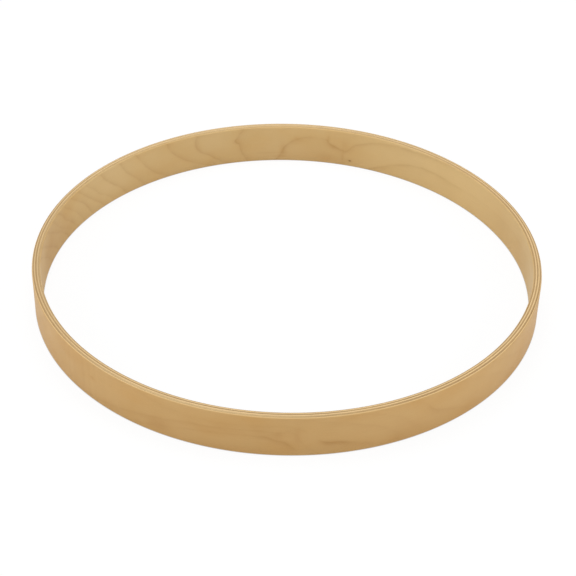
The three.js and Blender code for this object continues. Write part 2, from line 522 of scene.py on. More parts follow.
def leaning_lines(first_level, strength, first, last, pitch, lean):
    """Lines that cross the wall at a slant, one after another, with the unevenness of real rings"""
    lines = []
    angle = first
    while angle < last:
        count = len(lines)
        points = [
            (angle, 0),
            (angle - lean * swinging(count, *UPPER_BEND), UPPER_FALL),
            (angle - lean * swinging(count, *LOWER_BEND), LOWER_FALL),
            (angle - lean, 1),
        ]
        share = swinging(count, *LEANING_STRENGTH)
        lines.append((first_level - count, strength * share, points))
        angle += pitch * swinging(count, *LEANING_PITCH)
    return lines


def long_arches(strength, centre, half, top, count):
    """Nested arches stretched along the grain, the way a flat-cut veneer shows its rings"""
    lines = []
    for number in range(count):
        reach = half * (1 + ARCH_GROWTH_SHARE * number)
        crown = top - ARCH_RISE * number
        points = [
            (centre + reach * spot, crown + (ARCH_FOOT - crown) * abs(spot) ** ARCH_POWER)
            for spot in ARCH_SPOT_SHARES
        ]
        lines.append((-number, strength, points))
    return lines


def thin_plate(one, other):
    """The thin-plate spline's kernel between two sets of points"""
    gaps = one[:, None] - other[None]
    squared = np.maximum((gaps ** 2).sum(-1), HAIR ** 2)
    return squared * np.log(squared) / 2


def figure_surface(lines, plain, radius, depth):
    """A function that gives the rings' level and strength anywhere on an unrolled wall"""
    spots, values = [], []
    for level, strength, points in lines:
        corners = np.array([
            (math.radians(angle) * radius, fall * depth) for angle, fall in points])
        run = np.concatenate([[0], np.cumsum(np.linalg.norm(np.diff(corners, axis=0), axis=1))])
        stops = np.linspace(0, run[-1], max(2, round(run[-1] / LINE_POINT_SPACING)))
        spots += list(zip(np.interp(stops, run, corners[:, 0]), np.interp(stops, run, corners[:, 1])))
        values += [(level, strength)] * len(stops)
    for level, angle, fall in plain:
        spots.append((math.radians(angle) * radius, fall * depth))
        values.append((level, PLAIN_STRENGTH))
    spots = np.array(spots)
    count = len(spots)
    flat = np.column_stack([np.ones(count), spots])
    terms = flat.shape[1]
    bent = thin_plate(spots, spots) + FIGURE_SOFTNESS * np.eye(count)
    system = np.block([[bent, flat], [flat.T, np.zeros((terms, terms))]])
    weights = np.linalg.solve(system, np.vstack([values, np.zeros((terms, 2))]))

    def surface(points):
        level_ground = np.column_stack([np.ones(len(points)), points])
        return thin_plate(points, spots) @ weights[:count] + level_ground @ weights[count:]

    return surface


# Attributes that the materials read

JOINT_SLACK = 0.0001   # radians: corners this little short of a joint belong to the strip's start


def unrolled(mesh, sizes, layer):
    """Each corner's place in its flat strip: along it from its joint, up it, and through the wall"""
    corners = np.empty(len(mesh.vertices) * 3, np.float32)
    mesh.vertices.foreach_get("co", corners)
    x, y, z = corners.reshape(-1, 3).astype(float).T
    radius = np.hypot(x, y)
    start = layer.joint + lean_at(sizes, layer, radius)
    turned = (np.arctan2(y, x) - start + JOINT_SLACK) % FULL_TURN - JOINT_SLACK
    return np.column_stack([turned * layer.middle, z, radius - bore_radius(sizes)])


def half_length(layer):
    """Half the length of a veneer's flat strip"""
    return math.pi * layer.middle


def run_at(sizes, layer, wall_radius, degrees):
    """How far along its flat strip a place on a face ply's wall lies"""
    start = layer.joint + lean_at(sizes, layer, wall_radius)
    return (math.radians(degrees) - start) % FULL_TURN * layer.middle


def store(mesh, name, kind, values):
    """Writes values to a mesh as an attribute of its corners"""
    attribute = mesh.attributes.new(name, kind, "POINT")
    field = "vector" if kind == "FLOAT_VECTOR" else "value"
    attribute.data.foreach_set(field, np.ascontiguousarray(values, np.float32).ravel())


def patch_shares(patches, middle, depth, points):
    """How strong the patches are at each point of an unrolled wall"""
    shares = np.zeros(len(points))
    for angle, fall, reach, height, share in patches:
        along = (points[:, 0] / middle - math.radians(angle)) / math.radians(reach)
        across = (points[:, 1] / depth - fall) / height
        shares += share * np.exp(-PATCH_FADE * (along ** 2 + across ** 2))
    return shares


def store_figure(mesh, sizes, layer, wall):
    """Writes the growth rings' level, slope and strength, and the patches, as the wall shows them"""
    surface = figure_surface(wall.lines, wall.plain, layer.middle, sizes.depth)
    start = layer.joint + lean_at(sizes, layer, shown_radius(layer, wall))
    run, height, _ = unrolled(mesh, sizes, layer).T
    points = np.column_stack([run + start * layer.middle, sizes.depth - height])
    level, strength = surface(points).T
    along = surface(points + (SLOPE_STEP, 0))[:, 0] - level
    across = surface(points + (0, SLOPE_STEP))[:, 0] - level
    store(mesh, "ring_level", "FLOAT", level)
    store(mesh, "ring_slope", "FLOAT", np.hypot(along, across) / SLOPE_STEP)
    store(mesh, "ring_strength", "FLOAT", np.clip(strength, 0, MOST_STRENGTH))
    store(mesh, "patch", "FLOAT", patch_shares(wall.patches, layer.middle, sizes.depth, points))


# Shader wiring

NODE_SPACING = 190   # from one node to the next in the editor


class Wiring:
    """Adds nodes to a tree in a row, and joins each input to the socket or the value given for it"""

    def __init__(self, tree):
        self.tree = tree

    def join(self, node, inputs):
        for key, value in inputs.items():
            if isinstance(value, bpy.types.NodeSocket):
                self.tree.links.new(value, node.inputs[key])
            else:
                node.inputs[key].default_value = value

    def add(self, kind, inputs=None, **settings):
        made = self.tree.nodes.new(kind)
        made.location = (len(self.tree.nodes) * NODE_SPACING, 0)
        for name, value in settings.items():
            setattr(made, name, value)
        self.join(made, inputs or {})
        return made

    def maths(self, operation, *values):
        return self.add("ShaderNodeMath", dict(enumerate(values)), operation=operation).outputs[0]

    def vectors(self, operation, *values):
        """Maths on vectors, which gives a vector or, for a length, a value"""
        made = self.add("ShaderNodeVectorMath", dict(enumerate(values)), operation=operation)
        return made.outputs["Value" if operation == "LENGTH" else "Vector"]

    def moved(self, vector, **shifts):
        """A vector moved along the axes that are named"""
        return self.vectors("ADD", vector, self.add("ShaderNodeCombineXYZ", shifts).outputs[0])

    def parts(self, vector):
        return self.add("ShaderNodeSeparateXYZ", {0: vector}).outputs

    def noise(self, vector, detail=2.0, roughness=0.5):
        inputs = {"Vector": vector, "Scale": 1.0, "Detail": detail, "Roughness": roughness}
        return self.add("ShaderNodeTexNoise", inputs).outputs["Fac"]

    def cell_noise(self, vector, cell, detail=2.0, roughness=0.5):
        """Noise whose patches are about as large as the cell"""
        return self.noise(self.vectors("DIVIDE", vector, cell), detail, roughness)

    def ramp(self, value, low, high, to_low=0.0, to_high=1.0):
        """Eases a value from one range to another, and holds it inside"""
        inputs = {
            "Value": value, "From Min": low, "From Max": high, "To Min": to_low, "To Max": to_high}
        made = self.add("ShaderNodeMapRange", inputs, interpolation_type="SMOOTHSTEP")
        return made.outputs["Result"]

    def fade(self, distance, rate=1.0):
        """One at no distance, and ever less further on"""
        return self.maths("EXPONENT", self.maths("MULTIPLY", distance, -rate))

    def apart(self, run, other, half_length):
        """How far two places on a strip bent into a ring lie apart, the shorter way round"""
        return self.maths("PINGPONG", self.maths("SUBTRACT", run, other), half_length)

    def blend(self, share, under, over):
        """Lays one colour over another"""
        return self.add("ShaderNodeMix", {0: share, 6: under, 7: over}, data_type="RGBA").outputs[2]

    def coated(self, colour, coats):
        """Lays coats over a colour, one after another: each has a mask, the share laid, and a colour"""
        for mask, share, coat in coats:
            colour = self.blend(self.maths("MULTIPLY", mask, share), colour, coat)
        return colour

    def relief(self, strength, distance, height):
        inputs = {"Strength": strength, "Distance": distance, "Height": height}
        return self.add("ShaderNodeBump", inputs).outputs[0]

    def mix_shaders(self, share, under, over):
        return self.add("ShaderNodeMixShader", {0: share, 1: under, 2: over}).outputs[0]

    def attribute(self, name, output="Fac"):
        return self.add("ShaderNodeAttribute", attribute_name=name).outputs[output]

    def effect(self, name, places, inputs=None):
        """One of the shared effects, with its own values; outputs are read by name"""
        values = {"Unrolled": places, **(inputs or {})}
        return self.add("ShaderNodeGroup", values, node_tree=bpy.data.node_groups[name]).outputs


def new_effect(name, inputs, outputs):
    """Starts a shared effect: gives its wiring, its places, its inputs, and a function that ends it"""
    tree = bpy.data.node_groups.new(name, "ShaderNodeTree")
    tree.interface.new_socket("Unrolled", in_out="INPUT", socket_type="NodeSocketVector")
    for title, default in inputs.items():
        kind = "NodeSocketVector" if isinstance(default, tuple) else "NodeSocketFloat"
        socket = tree.interface.new_socket(title, in_out="INPUT", socket_type=kind)
        socket.default_value = default
    for title in outputs:
        tree.interface.new_socket(title, in_out="OUTPUT", socket_type="NodeSocketFloat")
    wiring = Wiring(tree)
    given = wiring.add("NodeGroupInput").outputs
    return wiring, given["Unrolled"], given, lambda values: wiring.add("NodeGroupOutput", values)


# Scales of the patterns

THROUGH = 1.0        # a cell's size through the wall, where its pattern is the same all through
NOISE_MEAN = 0.5     # of a noise's values

# Cells of the patterns, in metres: along a veneer's flat strip, up it, and through the wall
SLOW_WANDER = (0.012, 0.007, THROUGH)
QUICK_WANDER = (0.0036, 0.0016, THROUGH)
LINE_FAINTNESS = (0.02, 0.012, THROUGH)
FACE_FIBRE = (0.024, 0.0007, 0.0007)
LONG_FIBRE = (0.018, 0.0008, 0.00022)
FACE_FLECK = (0.0022, 0.00024, 0.00024)
LONG_FLECK = (0.0035, 0.0005, 0.00012)
WARM_DRIFT = (0.055, 0.03, THROUGH)
PALE_DRIFT = (0.09, 0.05, THROUGH)
STRAY_CURL = (0.045, 0.2, THROUGH)
CURL_BAND = (0.009, 0.07, THROUGH)
PORE = (0.00034, 0.004, 0.00026)
RING_BEND = (0.03, 0.03, 0.002)
MOTTLE = (0.004, 0.01, 0.0012)
KNOT_RIM = (0.0006, 0.0006, THROUGH)
# how the reach of the painted shadow along the bearing edge wanders
BEARING_SHADE_WANDER = (0.02, 0.004, THROUGH)
GLOSS_PATCH = (0.02, 0.012, 0.012)
ORANGE_PEEL = (0.0011, 0.0009, 0.0009)
GLUE_POOL = (0.006, 0.006, 0.006)
GLUE_BEAD = (0.0009, 0.0009, 0.0009)

# Spans of a noise's value over which a mask goes from none to full
BROAD = (0.25, 0.75)
EVEN = (0.3, 0.7)
UPPER = (0.5, 0.7)
PALE_SPAN = (0.35, 0.7)
POOL_SPAN = (0.35, 0.65)
FAINTNESS_SPAN = (0.3, 0.62)


# Shared effects

QUICK_SHARE = 0.7       # how much of the quick wander is added to the slow one
LEAST_SLOPE = 1.0       # rings in a metre, below which a line gets no wider
FAINTEST = 0.45         # what is left of a line where it is faintest
LATE_WOOD_FADE = 3.0    # how fast the late wood's tint fades from one line to the next


def make_growth_rings():
    """Late-wood lines of the growth rings: crisp on one side, soft on the other, and a little ragged"""
    wiring, places, given, end = new_effect("Growth Rings", {
        "Level": 0.0, "Slope": 20.0, "Strength": 1.0, "Crisp Side": 0.0006, "Soft Side": 0.0017,
        "Wander": 0.0014}, ["Line", "Late Wood"])
    slow = wiring.maths("SUBTRACT", wiring.cell_noise(places, SLOW_WANDER), NOISE_MEAN)
    quick = wiring.maths("SUBTRACT", wiring.cell_noise(places, QUICK_WANDER, detail=1.0), NOISE_MEAN)
    both = wiring.maths("MULTIPLY_ADD", quick, QUICK_SHARE, slow)
    shift = wiring.maths("MULTIPLY", both, given["Wander"])
    past = wiring.maths("FRACT", wiring.maths("MULTIPLY_ADD", shift, given["Slope"], given["Level"]))
    slope = wiring.maths("MAXIMUM", given["Slope"], LEAST_SLOPE)
    behind = wiring.maths("DIVIDE", past, slope)
    ahead = wiring.maths("DIVIDE", wiring.maths("SUBTRACT", 1.0, past), slope)
    soft = wiring.fade(wiring.maths("DIVIDE", behind, given["Soft Side"]))
    crisp = wiring.fade(wiring.maths("DIVIDE", ahead, given["Crisp Side"]))
    line = wiring.maths("MULTIPLY", wiring.maths("ADD", soft, crisp), given["Strength"])
    faintness = wiring.cell_noise(places, LINE_FAINTNESS)
    end({
        "Line": wiring.maths("MULTIPLY", line, wiring.ramp(faintness, *FAINTNESS_SPAN, FAINTEST, 1.0)),
        "Late Wood": wiring.maths("MULTIPLY", wiring.fade(past, LATE_WOOD_FADE), given["Strength"]),
    })


FINE_FIBRES = (2.3, 4.1, 4.1)   # how many fine fibres there are to a streak, each way


def make_fibres():
    """Streaks that run with the grain, in two sizes"""
    wiring, places, given, end = new_effect("Fibres", {"Cell": FACE_FIBRE}, ["Streak", "Fine"])
    cells = wiring.vectors("DIVIDE", places, given["Cell"])
    streak = wiring.noise(cells, detail=3.0, roughness=0.6)
    fine = wiring.noise(wiring.vectors("MULTIPLY", cells, FINE_FIBRES))
    end({"Streak": wiring.ramp(streak, *BROAD), "Fine": wiring.ramp(fine, *EVEN)})


FLECK_EDGE = 0.07   # rise of the noise over which a fleck comes in


def make_flecks():
    """Short dark dashes where pores and rays reach the surface"""
    wiring, places, given, end = new_effect("Flecks", {"Cell": FACE_FLECK, "Rarity": 0.64}, ["Fleck"])
    dashes = wiring.cell_noise(places, given["Cell"], detail=1.0)
    full = wiring.maths("ADD", given["Rarity"], FLECK_EDGE)
    end({"Fleck": wiring.ramp(dashes, given["Rarity"], full)})


ELSEWHERE = (3.7, 1.3, 2.9)   # a shift that makes a second noise differ from the first
STRAY_SHARE = 0.35            # how strong the curl is away from its main place


def make_tone():
    """Slow drift of the wood's colour: warm and pale patches, one long stretch, and bands of curl"""
    wiring, places, given, end = new_effect("Tone Drift", {
        "Seed": 0.0, "Stretch At": 0.0, "Stretch Reach": 0.3, "Curl At": 0.0, "Curl Reach": 0.09,
        "Half Length": 0.9}, ["Warm", "Pale", "Curl", "Stretch"])
    moved = wiring.moved(places, X=given["Seed"], Z=given["Seed"])
    far = wiring.vectors("ADD", moved, ELSEWHERE)
    run = wiring.parts(places)["X"]
    from_curl = wiring.apart(run, given["Curl At"], given["Half Length"])
    main = wiring.ramp(from_curl, given["Curl Reach"], 0.0)
    stray = wiring.ramp(wiring.cell_noise(far, STRAY_CURL, detail=1.0), *UPPER, 0.0, STRAY_SHARE)
    bands = wiring.ramp(wiring.cell_noise(moved, CURL_BAND, detail=1.5), *BROAD)
    from_stretch = wiring.apart(run, given["Stretch At"], given["Half Length"])
    end({
        "Warm": wiring.ramp(wiring.cell_noise(moved, WARM_DRIFT), *EVEN),
        "Pale": wiring.ramp(wiring.cell_noise(far, PALE_DRIFT), *PALE_SPAN),
        "Curl": wiring.maths("MULTIPLY", bands, wiring.maths("MAXIMUM", main, stray)),
        "Stretch": wiring.ramp(from_stretch, given["Stretch Reach"], 0.0),
    })


PORE_SPAN = (0.34, 0.12)   # from a pore's edge to where it is darkest, in cells from its middle
RINGS_ALONG = 18.0         # growth rings in a metre along the veneer
RINGS_THROUGH = 1100.0     # growth rings in a metre through it
RING_SWAY = 5.0            # rings that the bend moves them by
RING_FADE = 5.0            # how fast a ring's late wood fades


def make_end_grain():
    """End grain of a cross veneer at the rim: vessel pores, and rings that run with the veneer"""
    wiring, places, given, end = new_effect("End Grain", {"Seed": 0.0}, ["Pores", "Rings", "Mottle"])
    moved = wiring.moved(places, X=given["Seed"])
    cells = wiring.vectors("DIVIDE", moved, PORE)
    pores = wiring.add("ShaderNodeTexVoronoi", {"Vector": cells, "Scale": 1.0}, feature="F1")
    place = wiring.parts(moved)
    through = wiring.maths("MULTIPLY", place["Z"], RINGS_THROUGH)
    across = wiring.maths("MULTIPLY_ADD", place["X"], RINGS_ALONG, through)
    bent = wiring.maths("MULTIPLY_ADD", wiring.cell_noise(moved, RING_BEND), RING_SWAY, across)
    mottle = wiring.cell_noise(moved, MOTTLE, detail=3.0, roughness=0.6)
    end({
        "Pores": wiring.ramp(pores.outputs["Distance"], *PORE_SPAN),
        "Rings": wiring.fade(wiring.maths("FRACT", bent), RING_FADE),
        "Mottle": wiring.ramp(mottle, *EVEN),
    })


KNOT_SHAPE = (0.62, 1.0, 0.0)   # drawn out along the grain, and the same all through the veneer
KNOT_RAGGED = 0.0005            # how far its rim strays
CORE_SPAN = (1.5, 0.7)          # from the core's edge to where it is darkest, as shares of its radius
HALO_FADE = 1.6                 # how fast the halo fades


def make_pin_knot():
    """One small knot: a dark core, and a soft halo round it"""
    wiring, places, given, end = new_effect(
        "Pin Knot", {"Centre": (0, 0, 0), "Core": 0.0011, "Halo": 0.003}, ["Core", "Halo"])
    offset = wiring.vectors("SUBTRACT", places, given["Centre"])
    away = wiring.vectors("LENGTH", wiring.vectors("MULTIPLY", offset, KNOT_SHAPE))
    ragged = wiring.maths("MULTIPLY", wiring.cell_noise(places, KNOT_RIM), KNOT_RAGGED)
    away = wiring.maths("ADD", away, ragged)
    end({
        "Core": wiring.ramp(wiring.maths("DIVIDE", away, given["Core"]), *CORE_SPAN),
        "Halo": wiring.fade(wiring.maths("DIVIDE", away, given["Halo"]), HALO_FADE),
    })


FRONT_START = -0.7      # height where the front's paler wood starts, in roundovers from the front edge
FRONT_FULL = -0.3       # and where it is palest
BEARING_SHADE_LEAST = 0.0006  # least height that the painted shadow along the bearing edge reaches
BEARING_SHADE_SWING = 0.0016  # and how much further it can go


def make_edge_tone_and_shade():
    """Where the hoop's edges are: the front roundover's paler wood, and painted shade low on the wall
    and along the bearing edge
    """
    wiring, places, given, end = new_effect(
        "Edge Tone", {"Depth": 0.0512, "Roundover": 0.0032}, ["Front", "Lower", "Bearing"])
    height = wiring.parts(places)["Y"]
    start = wiring.maths("MULTIPLY_ADD", given["Roundover"], FRONT_START, given["Depth"])
    full = wiring.maths("MULTIPLY_ADD", given["Roundover"], FRONT_FULL, given["Depth"])
    uneven = wiring.cell_noise(places, BEARING_SHADE_WANDER, detail=3.0)
    reach = wiring.maths("MULTIPLY_ADD", uneven, BEARING_SHADE_SWING, BEARING_SHADE_LEAST)
    end({
        "Front": wiring.ramp(height, start, full),
        # painted shade: the wall darker towards the bottom
        "Lower": wiring.ramp(height, given["Depth"], 0.0),
        # painted shadow along the bearing edge
        "Bearing": wiring.ramp(height, reach, 0.0),
    })


GLOSS_SWING = 0.16    # how much the lacquer's roughness varies
GRAIN_RELIEF = 0.4    # how high the grain shows through, next to the orange peel


def make_lacquer():
    """Satin lacquer: patches of gloss, a fine orange peel, and the grain showing through"""
    wiring, places, given, end = new_effect(
        "Satin Lacquer", {"Roughness": 0.5, "Grain": 0.5}, ["Roughness", "Height"])
    patches = wiring.cell_noise(places, GLOSS_PATCH, detail=3.0)
    uneven = wiring.maths("SUBTRACT", patches, NOISE_MEAN)
    peel = wiring.cell_noise(places, ORANGE_PEEL, detail=1.0)
    end({
        "Roughness": wiring.maths("MULTIPLY_ADD", uneven, GLOSS_SWING, given["Roughness"]),
        "Height": wiring.maths("MULTIPLY_ADD", given["Grain"], GRAIN_RELIEF, peel),
    })


EFFECTS = (
    make_growth_rings, make_fibres, make_flecks, make_tone, make_end_grain, make_pin_knot,
    make_edge_tone_and_shade, make_lacquer,
)


def make_effects():
    """Builds the shared effects once"""
    if "Growth Rings" not in bpy.data.node_groups:
        for make in EFFECTS:
            make()


# Materials

REFRACTIVE_INDEX = 1.5               # of the lacquer and the glue
LACQUER_RELIEF = 0.06 * MILLIMETRE   # height of the orange peel
BEAD_RELIEF = 0.04 * MILLIMETRE      # height of the glue's beads
LACQUER_BUMP, BEAD_BUMP = 0.25, 0.3  # strength of either relief
PORE_BUMP = 0.5                      # strength of the lacquer's relief over the pores of end grain
BEAD_ROUGHNESS = (0.3, 0.5)          # of the glue between its beads, and on them
LONG_SEED, CROSS_SEED = 11.0, 21.0   # of the first core veneer of either kind

# Tints of a face veneer's colour: shares of its red, green and blue
WARM_TINT = (0.985, 0.93, 0.83)
PALE_TINT = (1.03, 1.05, 1.1)
PALEST_TINT = (1.12, 1.15, 1.18)
RICH_TINT = (0.7, 0.5, 0.27)
FADED_TINT = (1.08, 1.14, 1.26)


def opaque(colour):
    return (*colour, 1.0)


def tinted(colour, tint):
    """A colour whose red, green and blue are each multiplied by a share"""
    return opaque([part * share for part, share in zip(colour, tint)])


def shaded(colour, share):
    """A colour made darker, or lighter where the share is over one"""
    return tinted(colour, (share, share, share))


def blank_wiring(owner):
    """The wiring for a new material or world, with no node in it yet"""
    owner.use_nodes = True
    owner.node_tree.nodes.clear()
    return Wiring(owner.node_tree)


def new_material(name, sheen=0.4):
    """A material with one Principled shader, and the wiring to fill it"""
    material = bpy.data.materials.new(name)
    wiring = blank_wiring(material)
    look = {"Specular IOR Level": sheen, "IOR": REFRACTIVE_INDEX}
    shader = wiring.add("ShaderNodeBsdfPrincipled", look)
    wiring.add("ShaderNodeOutputMaterial", {"Surface": shader.outputs[0]})
    return material, wiring, shader


def new_maple(layer, **look):
    """A veneer's material, named for its ply, and its places on the flat strip"""
    material, wiring, shader = new_material(layer.name.replace("ply", "maple"), **look)
    return material, wiring, shader, wiring.attribute("unrolled", "Vector")


def lacquered(wiring, shader, places, finish, colour, grain, bump=LACQUER_BUMP):
    """Joins a wood colour and its grain to the shader under satin lacquer"""
    coat = {"Roughness": finish.lacquer_roughness, "Grain": grain}
    film = wiring.effect("Satin Lacquer", places, coat)
    relief = wiring.relief(bump, LACQUER_RELIEF, film["Height"])
    wiring.join(shader, {"Base Color": colour, "Roughness": film["Roughness"], "Normal": relief})


# How each face ply looks: the side of the layer that shows, the property that holds its colour, its
# growth figure and patches, the seed of its tone, its gloss, how pale its front edge is, how strong its
# growth lines are and how wide on either side, the angles where it is palest and where it is curly, and
# its knot's angle and fall. An angle past 360 degrees lies beyond +X, on the way to the ply's joint.
Wall = namedtuple(
    "Wall", "side colour lines plain patches seed sheen front figure crisp soft sapwood curl knot")

INNER_WALL = Wall(
    side="inside", colour="inner_face",
    lines=(
        *INNER_LINES,
        *leaning_lines(first_level=-11, strength=0.6, first=193, last=290, pitch=8, lean=10)),
    plain=INNER_PLAIN, patches=INNER_PATCHES, seed=0.0, sheen=0.12, front=0.3, figure=0.21,
    crisp=0.0012, soft=0.0032, sapwood=40, curl=240, knot=(73.7, 0.845))
OUTER_WALL = Wall(
    side="outside", colour="outer_face",
    lines=(
        *OUTER_LINES,
        *long_arches(strength=0.5, centre=410, half=14, top=0.5, count=3),
        *long_arches(strength=0.5, centre=133, half=12, top=0.6, count=3)),
    plain=OUTER_PLAIN, patches=OUTER_PATCHES, seed=7.0, sheen=0.20, front=0.75, figure=0.27,
    crisp=0.0016, soft=0.0042, sapwood=75, curl=224, knot=None)


def knot_coats(wiring, places, sizes, finish, layer, wall):
    """The coats of colour that draw a wall's knot"""
    angle, fall = wall.knot
    run = run_at(sizes, layer, shown_radius(layer, wall), angle)
    centre = (run, sizes.depth * (1 - fall), 0)
    spot = wiring.effect("Pin Knot", places, {"Centre": centre})
    return [
        (spot["Halo"], 0.45, opaque(finish.growth_line)),
        (spot["Core"], 0.6, shaded(finish.growth_line, 0.3)),
    ]


def face_material(sizes, finish, layer, wall):
    """Sanded rotary-cut maple with its growth figure, and painted shade low on the wall and along the
    bearing edge
    """
    material, wiring, shader, places = new_maple(layer, sheen=wall.sheen)
    radius = shown_radius(layer, wall)
    rings = wiring.effect("Growth Rings", places, {
        "Level": wiring.attribute("ring_level"), "Slope": wiring.attribute("ring_slope"),
        "Strength": wiring.attribute("ring_strength"),
        "Crisp Side": wall.crisp, "Soft Side": wall.soft})
    tone = wiring.effect("Tone Drift", places, {
        "Seed": wall.seed, "Half Length": half_length(layer),
        "Stretch At": run_at(sizes, layer, radius, wall.sapwood),
        "Curl At": run_at(sizes, layer, radius, wall.curl)})
    fibres = wiring.effect("Fibres", places)
    flecks = wiring.effect("Flecks", places)
    edge_sizes = {"Depth": sizes.depth, "Roundover": sizes.front_roundover}
    edges = wiring.effect("Edge Tone", places, edge_sizes)
    patch = wiring.attribute("patch")
    colour = getattr(finish, wall.colour)
    late = opaque(finish.growth_line)
    coats = [
        (tone["Warm"], 1.0, tinted(colour, WARM_TINT)),
        (tone["Pale"], 1.0, tinted(colour, PALE_TINT)),
        (tone["Stretch"], 1.0, tinted(colour, PALEST_TINT)),
        (patch, 1.0, tinted(colour, RICH_TINT)),
        (patch, -1.0, tinted(colour, FADED_TINT)),
        # painted shade: the wall darkened towards the bottom
        (edges["Lower"], 0.10, late),
        (tone["Curl"], 0.12, late),
        (fibres["Streak"], 0.055, late),
        (fibres["Fine"], 0.035, late),
        (flecks["Fleck"], 0.16, late),
        (rings["Late Wood"], 0.05, late),
        (rings["Line"], wall.figure, late),
    ]
    if wall.knot:
        coats += knot_coats(wiring, places, sizes, finish, layer, wall)
    coats += [
        # painted shadow along the bearing edge
        (edges["Bearing"], 0.35, shaded(finish.growth_line, 1.2)),
        (edges["Front"], wall.front, opaque(finish.long_edge)),
    ]
    grain = wiring.maths("SUBTRACT", fibres["Streak"], rings["Line"])
    lacquered(wiring, shader, places, finish, wiring.coated(opaque(colour), coats), grain)
    return material


# The stretch of each core veneer that differs from the rest: the angle at its middle, its reach either
# way in metres, and the share of its own shade there, darker on a long veneer and paler on a cross one.
# The paler stretches of the cross veneers, at the rim's front and back, are partly the wood's own tone
# and partly painted highlight for the brighter light there.
STRETCHES = {
    "inner_cross_ply": (118, 0.8, 0.48),
    "inner_long_ply": (188, 0.25, 1.0),
    "middle_cross_ply": (100, 0.40, 0.52),
    "outer_long_ply": (192, 0.28, 1.0),
    "outer_cross_ply": (250, 0.28, 0.55),
}


def core_tone(wiring, places, sizes, layer, seed):
    """A core veneer's slow drift of colour, and the share that its own stretch has in it"""
    angle, reach, share = STRETCHES[layer.name]
    tone = wiring.effect("Tone Drift", places, {
        "Seed": seed, "Stretch At": run_at(sizes, layer, layer.inside, angle),
        "Stretch Reach": reach, "Half Length": half_length(layer)})
    return tone, share


def long_material(sizes, finish, layer, seed):
    """Edge of a veneer whose fibres run round the hoop"""
    material, wiring, shader, places = new_maple(layer)
    tone, stretch_share = core_tone(wiring, places, sizes, layer, seed)
    fibres = wiring.effect("Fibres", places, {"Cell": LONG_FIBRE})
    flecks = wiring.effect("Flecks", places, {"Cell": LONG_FLECK})
    late = opaque(finish.growth_line)
    wood = wiring.coated(opaque(finish.long_edge), [
        (tone["Warm"], 1.0, shaded(finish.long_edge, 0.91)),
        (tone["Stretch"], stretch_share, shaded(finish.long_edge, 0.78)),
        (fibres["Streak"], 0.16, late),
        (fibres["Fine"], 0.08, late),
        (flecks["Fleck"], 0.25, late),
    ])
    lacquered(wiring, shader, places, finish, wood, fibres["Streak"])
    return material


def cross_material(sizes, finish, layer, seed):
    """End grain at the edge of a veneer whose fibres run along the hoop's axis"""
    material, wiring, shader, places = new_maple(layer)
    tone, stretch_share = core_tone(wiring, places, sizes, layer, seed)
    cut = wiring.effect("End Grain", places, {"Seed": seed})
    wood = wiring.coated(opaque(finish.cross_edge), [
        (tone["Warm"], 1.0, shaded(finish.cross_edge, 0.8)),
        (cut["Mottle"], 0.25, shaded(finish.long_edge, 0.85)),
        # paler stretch: partly the wood's own tone, partly painted highlight at the rim's front and back
        (tone["Stretch"], stretch_share, shaded(finish.long_edge, 0.95)),
        (cut["Rings"], 0.3, shaded(finish.growth_line, 0.8)),
        (cut["Pores"], 0.55, shaded(finish.growth_line, 0.5)),
    ])
    grain = wiring.maths("SUBTRACT", 1.0, cut["Pores"])
    lacquered(wiring, shader, places, finish, wood, grain, PORE_BUMP)
    return material


def glue_material(finish):
    """Cured adhesive: amber, thicker and darker in places, with fine beads"""
    material, wiring, shader = new_material("amber_glue")
    places = wiring.add("ShaderNodeTexCoord").outputs["Object"]
    pools = wiring.ramp(wiring.cell_noise(places, GLUE_POOL, detail=3.0), *POOL_SPAN)
    beads = wiring.ramp(wiring.cell_noise(places, GLUE_BEAD), *UPPER)
    film = wiring.coated(opaque(finish.glue), [
        (pools, 1.0, shaded(finish.glue, 0.62)),
        (beads, 0.4, shaded(finish.cross_edge, 0.9)),
    ])
    wiring.join(shader, {
        "Base Color": film,
        "Roughness": wiring.ramp(beads, 0.0, 1.0, *BEAD_ROUGHNESS),
        "Normal": wiring.relief(BEAD_BUMP, BEAD_RELIEF, beads),
    })
    return material


# Pieces

def make_ply(sizes, layer, material, wall_radius=None):
    """One veneer: a strip bent round the hoop, with its two ends cut to the slant of its scarf joint"""
    bm = layer_section(sizes, layer)
    if wall_radius is not None:
        split_wall(bm, wall_radius, sizes.wall_rows)
    lean_section(bm, sizes, layer)
    film = film_turn(sizes, layer)
    sweep(bm, layer.joint + film / 2, FULL_TURN - film, sizes.steps)
    piece = finish_piece(bm, layer.name + "_veneer", layer.name, material)
    store(piece.data, "unrolled", "FLOAT_VECTOR", unrolled(piece.data, sizes, layer))
    return piece


def make_glue_line(sizes, layer, material):
    """The closed ring of glue between two veneers"""
    bm = layer_section(sizes, layer)
    sweep(bm, 0, FULL_TURN, sizes.steps)
    return finish_piece(bm, layer.name + "_film", layer.name, material)


def make_scarf_film(sizes, layer, number, material):
    """The slanted film of glue that fills a veneer's scarf joint"""
    bm = layer_section(sizes, layer)
    lean_section(bm, sizes, layer)
    film = film_turn(sizes, layer)
    sweep(bm, layer.joint - film / 2, film, SECTORS)
    name = f"scarf_glue_{number}"
    return finish_piece(bm, name + "_film", name, material)


class DRUMHOOP_OT_face_plies(bpy.types.Operator):
    """Builds the sanded veneers of the inner and the outer wall, with their growth figure"""

    bl_idname = "drum_hoop.face_plies"
    bl_label = "Face Plies"
    bl_options = {"REGISTER", "UNDO"}

    def execute(self, context):
        sizes, finish = context.scene.drum_hoop_sizes, context.scene.drum_hoop_finish
        make_effects()
        for layer, wall in zip(layers_of(sizes, "face"), (INNER_WALL, OUTER_WALL)):
            material = face_material(sizes, finish, layer, wall)
            piece = make_ply(sizes, layer, material, shown_radius(layer, wall))
            store_figure(piece.data, sizes, layer, wall)
        return {"FINISHED"}


